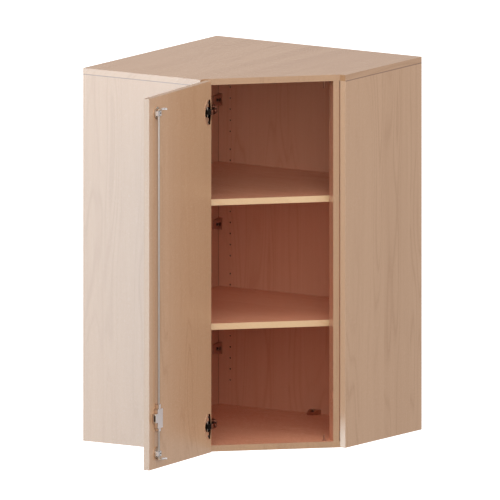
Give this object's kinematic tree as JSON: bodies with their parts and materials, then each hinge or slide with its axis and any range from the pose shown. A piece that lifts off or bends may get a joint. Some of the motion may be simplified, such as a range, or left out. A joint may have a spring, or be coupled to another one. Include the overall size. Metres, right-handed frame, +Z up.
{
  "type": "corner wall cabinet",
  "caption": "Five-sided wall cabinet for a room corner, with a diagonal hinged door, loose shelves on drilled rows and a turning rod lock on the door.",
  "frame": {"origin": "room corner at the height of the cabinet underside, where the two back panels meet", "axes": "+X along the right wall, -Y along the left wall, +Z up; the door stands open as stored"},
  "size_m": [0.7, 1.0631, 1.08],
  "materials": {
    "maple_board": "matt maple decor on chipboard",
    "maple_edge_band": "matt maple decor band",
    "pale_edge_band": "matt pale decor band",
    "nickel_hinge": "polished nickel plate",
    "nickel_fitting": "satin nickel plate",
    "die_cast_lock": "satin nickel plate",
    "steel_rod": "drawn bright steel",
    "steel_pin": "turned steel",
    "zinc_screw": "zinc plate",
    "brass_plug": "nickelled brass"
  },
  "bodies": {
    "cabinet": {"bottom_edge_band": "maple_edge_band", "bottom_panel": "maple_board", "connector_screws": "zinc_screw", "corner_connectors": "nickel_fitting", "hinge_arm_pins": "nickel_hinge", "hinge_arms": "nickel_hinge", "hinge_plate_screws": "zinc_screw", "hinge_plates": "nickel_hinge", "hinge_stile": "maple_board", "keeper_posts": "steel_rod", "left_back_panel": "maple_board", "left_side_panel": "maple_board", "lock_stile": "maple_board", "lower_shelf": "maple_board", "lower_shelf_edge_band": "pale_edge_band", "right_back_panel": "maple_board", "right_side_panel": "maple_board", "shelf_pins": "steel_pin", "side_edge_bands": "maple_edge_band", "stile_edge_bands": "maple_edge_band", "top_edge_band": "maple_edge_band", "top_panel": "maple_board", "upper_shelf": "maple_board", "upper_shelf_edge_band": "pale_edge_band"},
    "door": {"door_panel": "maple_board", "door_edge_bands": "maple_edge_band", "hinge_cups": "nickel_hinge", "hinge_cup_screws": "zinc_screw", "hinge_cup_pins": "nickel_hinge", "lower_rod_guide": "die_cast_lock", "upper_rod_guide": "die_cast_lock", "rod_guide_screws": "zinc_screw", "lock_case": "die_cast_lock", "lock_case_necks": "die_cast_lock", "key_barrel": "nickel_hinge"},
    "rod": {"locking_rod": "steel_rod", "lower_rod_hook": "steel_rod", "upper_rod_hook": "steel_rod"},
    "bolt": {"lock_bolt": "steel_rod"},
    "plug": {"key_plug": "brass_plug"},
    "lower_crank": {"lower_hinge_crank": "nickel_hinge"},
    "lower_link": {"lower_hinge_link": "nickel_hinge", "lower_link_pin": "nickel_hinge"},
    "upper_crank": {"upper_hinge_crank": "nickel_hinge"},
    "upper_link": {"upper_hinge_link": "nickel_hinge", "upper_link_pin": "nickel_hinge"}
  },
  "joints": [
    {"name": "door_swing", "type": "hinge", "parent": "cabinet", "child": "door", "pos_m": [0.41634, -0.68532, 0], "axis": [0, 0, 1], "range_deg": [0, 130]},
    {"name": "rod_turn", "type": "hinge", "parent": "door", "child": "rod", "pos_m": [0.46659, -1.01991, 0], "axis": [0, 0, -1], "range_deg": [0, 90]},
    {"name": "bolt_slide", "type": "slide", "parent": "door", "child": "bolt", "axis": [0.0872, -0.9962, 0], "range_m": [0, 0.011]},
    {"name": "plug_turn", "type": "hinge", "parent": "door", "child": "plug", "pos_m": [0.4479, -1.01051, 0.148], "axis": [0.9962, 0.0872, 0], "range_deg": [0, 90]},
    {"name": "lower_crank_turn", "type": "hinge", "parent": "cabinet", "child": "lower_crank", "pos_m": [0.42001, -0.65053, 0], "axis": [0, 0, 1], "range_deg": [0, 130]},
    {"name": "lower_link_turn", "type": "hinge", "parent": "lower_crank", "child": "lower_link", "pos_m": [0.42963, -0.66746, 0], "axis": [0, 0, 1], "range_deg": [-130, 0]},
    {"name": "upper_crank_turn", "type": "hinge", "parent": "cabinet", "child": "upper_crank", "pos_m": [0.42001, -0.65053, 0], "axis": [0, 0, 1], "range_deg": [0, 130]},
    {"name": "upper_link_turn", "type": "hinge", "parent": "upper_crank", "child": "upper_link", "pos_m": [0.42963, -0.66746, 0], "axis": [0, 0, 1], "range_deg": [-130, 0]}
  ],
  "couplings": [
    {"joint": "bolt_slide", "follows": "rod_turn", "m_per_rad": 0.0070028},
    {"joint": "plug_turn", "follows": "rod_turn", "ratio": 1},
    {"joint": "lower_crank_turn", "follows": "door_swing", "ratio": 1},
    {"joint": "lower_link_turn", "follows": "door_swing", "ratio": -1},
    {"joint": "upper_crank_turn", "follows": "door_swing", "ratio": 1},
    {"joint": "upper_link_turn", "follows": "door_swing", "ratio": -1}
  ]
}
